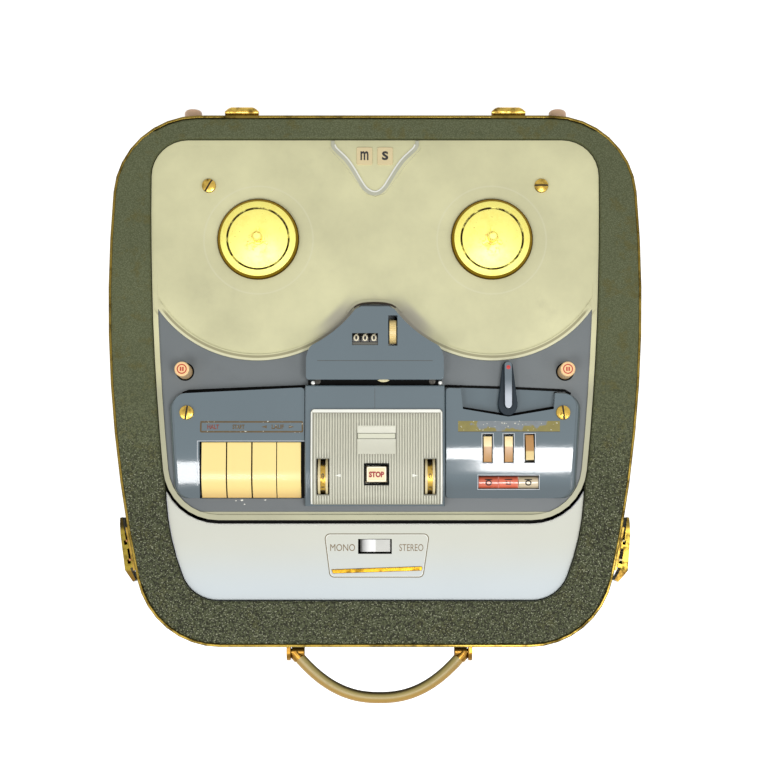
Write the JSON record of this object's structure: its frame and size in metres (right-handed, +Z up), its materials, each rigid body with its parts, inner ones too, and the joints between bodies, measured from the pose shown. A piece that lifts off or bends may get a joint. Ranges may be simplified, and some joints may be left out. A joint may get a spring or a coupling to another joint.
{
  "type": "reel-to-reel tape recorder",
  "caption": "Portable reel-to-reel tape recorder in a bowed leatherette case: turntables, head cover, piano keys, rockers, thumbwheels, counter, latches and carrying handle.",
  "frame": {"origin": "centre of the bounding box at the tips of the feet", "axes": "+X to the right, +Y to the back (away from the handle), +Z up"},
  "size_m": [0.4226, 0.4839, 0.1793],
  "materials": {
    "leatherette": "grained grey-green leatherette over plywood",
    "plywood": "plain plywood",
    "brass": "polished brass",
    "worn_brass": "worn lacquered brass",
    "cream": "satin cream moulding",
    "blue_plate": "glossy blue-grey moulding",
    "blue_block": "glossy blue-grey moulding",
    "panel": "high gloss pale grey",
    "ivory": "glossy ivory moulding",
    "ribbed": "satin pale grey, finely ribbed",
    "peach": "glossy peach moulding",
    "tan_stud": "tan moulded stud",
    "grip": "olive moulded grip",
    "chrome": "bright plate",
    "steel": "plated steel",
    "red_strip": "dark red lens",
    "black": "black moulding",
    "rubber": "plain rubber",
    "roller_rubber": "pale rubber",
    "cast": "turned casting",
    "glass_tube": "clear glass tube",
    "board": "brown laminate board"
  },
  "bodies": {
    "recorder": {"case_walls": "leatherette", "top_frame": "leatherette", "edge_trim": "worn_brass", "base_board": "plywood", "feet": "tan_stud", "base_screws": "steel", "lid_hinges": "brass", "latch_plates": "brass", "handle_brackets": "brass", "deck_plate": "cream", "control_plate": "blue_plate", "front_panel": "panel", "deck_screws": "brass", "key_block": "blue_block", "key_axle": "steel", "selector_block": "blue_block", "rocker_axle": "steel", "indicator_strip": "red_strip", "centre_block": "blue_block", "ribbed_cover": "ribbed", "eye_tube": "glass_tube", "wheel_pots": "steel", "head_cover": "blue_block", "counter_frame": "steel", "bearing_bushes": "brass", "chassis": "steel", "motor": "steel", "drive_belt": "rubber", "tape_heads": "chrome", "transformer": "steel", "amplifier": "board", "loudspeaker": "black", "socket_panel": "black"},
    "handle": {"handle_grip": "grip"},
    "left_latch": {"left_latch": "worn_brass"},
    "right_latch": {"right_latch": "worn_brass"},
    "stereo_rocker": {"stereo_rocker": "chrome"},
    "rewind_key": {"rewind_key": "ivory"},
    "halt_key": {"halt_key": "ivory"},
    "start_key": {"start_key": "ivory"},
    "forward_key": {"forward_key": "ivory"},
    "speed_lever": {"speed_lever": "blue_block"},
    "left_rocker": {"left_rocker": "ivory"},
    "middle_rocker": {"middle_rocker": "ivory"},
    "right_rocker": {"right_rocker": "ivory"},
    "stop_button": {"stop_button": "peach"},
    "level_wheel": {"level_wheel": "worn_brass"},
    "tone_wheel": {"tone_wheel": "worn_brass"},
    "units_wheel": {"units_wheel": "black"},
    "tens_wheel": {"tens_wheel": "black"},
    "hundreds_wheel": {"hundreds_wheel": "black"},
    "reset_wheel": {"reset_wheel": "ivory"},
    "left_button": {"left_button": "peach"},
    "right_button": {"right_button": "peach"},
    "supply_turntable": {"supply_turntable": "brass"},
    "takeup_turntable": {"takeup_turntable": "brass"},
    "motor_pulley": {"motor_pulley": "brass"},
    "flywheel": {"flywheel": "cast"},
    "pinch_arm": {"pinch_arm": "steel"},
    "pinch_roller": {"pinch_roller": "roller_rubber"}
  },
  "joints": [
    {"name": "supply_spin", "type": "hinge", "parent": "recorder", "child": "supply_turntable", "pos_m": [-0.093, 0.12763, 0.158], "axis": [0, 0, 1], "continuous": true},
    {"name": "takeup_spin", "type": "hinge", "parent": "recorder", "child": "takeup_turntable", "pos_m": [0.093, 0.12763, 0.158], "axis": [0, 0, 1], "continuous": true},
    {"name": "flywheel_spin", "type": "hinge", "parent": "recorder", "child": "flywheel", "pos_m": [0.006, 0.01583, 0.118], "axis": [0, 0, 1], "continuous": true},
    {"name": "pulley_spin", "type": "hinge", "parent": "recorder", "child": "motor_pulley", "pos_m": [-0.095, 0.03863, 0.11], "axis": [0, 0, 1], "continuous": true},
    {"name": "units_turn", "type": "hinge", "parent": "recorder", "child": "units_wheel", "pos_m": [-0.0008, 0.04533, 0.168], "axis": [1, 0, 0], "continuous": true},
    {"name": "tens_turn", "type": "hinge", "parent": "recorder", "child": "tens_wheel", "pos_m": [-0.0077, 0.04533, 0.168], "axis": [1, 0, 0], "continuous": true},
    {"name": "hundreds_turn", "type": "hinge", "parent": "recorder", "child": "hundreds_wheel", "pos_m": [-0.0146, 0.04533, 0.168], "axis": [1, 0, 0], "continuous": true},
    {"name": "reset_turn", "type": "hinge", "parent": "recorder", "child": "reset_wheel", "pos_m": [0.014, 0.05203, 0.1698], "axis": [1, 0, 0], "continuous": true},
    {"name": "pinch_swing", "type": "hinge", "parent": "recorder", "child": "pinch_arm", "pos_m": [-0.02, 0.00263, 0.147], "axis": [0, 0, 1], "range_deg": [0, 5]},
    {"name": "roller_spin", "type": "hinge", "parent": "pinch_arm", "child": "pinch_roller", "pos_m": [0.006, 0.00263, 0.158], "axis": [0, 0, 1], "continuous": true},
    {"name": "rewind_press", "type": "hinge", "parent": "recorder", "child": "rewind_key", "pos_m": [-0.097, -0.02837, 0.1615], "axis": [1, 0, 0], "range_deg": [0, 6], "stiffness_Nm_per_rad": 2},
    {"name": "halt_press", "type": "hinge", "parent": "recorder", "child": "halt_key", "pos_m": [-0.097, -0.02837, 0.1615], "axis": [1, 0, 0], "range_deg": [0, 6], "stiffness_Nm_per_rad": 2},
    {"name": "start_press", "type": "hinge", "parent": "recorder", "child": "start_key", "pos_m": [-0.097, -0.02837, 0.1615], "axis": [1, 0, 0], "range_deg": [0, 6], "stiffness_Nm_per_rad": 2},
    {"name": "forward_press", "type": "hinge", "parent": "recorder", "child": "forward_key", "pos_m": [-0.097, -0.02837, 0.1615], "axis": [1, 0, 0], "range_deg": [0, 6], "stiffness_Nm_per_rad": 2},
    {"name": "stop_press", "type": "slide", "parent": "recorder", "child": "stop_button", "axis": [0, 0, -1], "range_m": [0, 0.0035], "stiffness_N_per_m": 600},
    {"name": "left_button_press", "type": "slide", "parent": "recorder", "child": "left_button", "axis": [0, 0, -1], "range_m": [0, 0.004], "stiffness_N_per_m": 600},
    {"name": "right_button_press", "type": "slide", "parent": "recorder", "child": "right_button", "axis": [0, 0, -1], "range_m": [0, 0.004], "stiffness_N_per_m": 600},
    {"name": "level_turn", "type": "hinge", "parent": "recorder", "child": "level_wheel", "pos_m": [-0.0416, -0.06137, 0.1592], "axis": [1, 0, 0], "range_deg": [-140, 140]},
    {"name": "tone_turn", "type": "hinge", "parent": "recorder", "child": "tone_wheel", "pos_m": [0.0416, -0.06137, 0.1592], "axis": [1, 0, 0], "range_deg": [-140, 140]},
    {"name": "speed_swing", "type": "hinge", "parent": "recorder", "child": "speed_lever", "pos_m": [0.1043, -0.00497, 0.158], "axis": [0, 0, 1], "range_deg": [-32, 32]},
    {"name": "left_rock", "type": "hinge", "parent": "recorder", "child": "left_rocker", "pos_m": [0.0879, -0.03957, 0.1635], "axis": [1, 0, 0], "range_deg": [-18, 0]},
    {"name": "middle_rock", "type": "hinge", "parent": "recorder", "child": "middle_rocker", "pos_m": [0.1043, -0.03957, 0.1635], "axis": [1, 0, 0], "range_deg": [-18, 0]},
    {"name": "right_rock", "type": "hinge", "parent": "recorder", "child": "right_rocker", "pos_m": [0.1207, -0.03957, 0.1635], "axis": [1, 0, 0], "range_deg": [0, 18]},
    {"name": "stereo_rock", "type": "hinge", "parent": "recorder", "child": "stereo_rocker", "pos_m": [0, -0.11567, 0.1545], "axis": [0, 1, 0], "range_deg": [-7, 0]},
    {"name": "handle_swing", "type": "hinge", "parent": "recorder", "child": "handle", "pos_m": [0.0034, -0.20087, 0.1], "axis": [1, 0, 0], "range_deg": [-85, 85]},
    {"name": "right_latch_open", "type": "hinge", "parent": "recorder", "child": "right_latch", "pos_m": [0.19578, -0.11848, 0.136], "axis": [0.199, 0.98, 0], "range_deg": [0, 110]},
    {"name": "left_latch_open", "type": "hinge", "parent": "recorder", "child": "left_latch", "pos_m": [-0.19578, -0.11848, 0.136], "axis": [0.199, -0.98, 0], "range_deg": [0, 110]}
  ],
  "couplings": [
    {"joint": "pulley_spin", "follows": "flywheel_spin", "ratio": 5.625},
    {"joint": "units_turn", "follows": "takeup_spin", "ratio": 0.2},
    {"joint": "tens_turn", "follows": "takeup_spin", "ratio": 0.02},
    {"joint": "hundreds_turn", "follows": "takeup_spin", "ratio": 0.002}
  ]
}
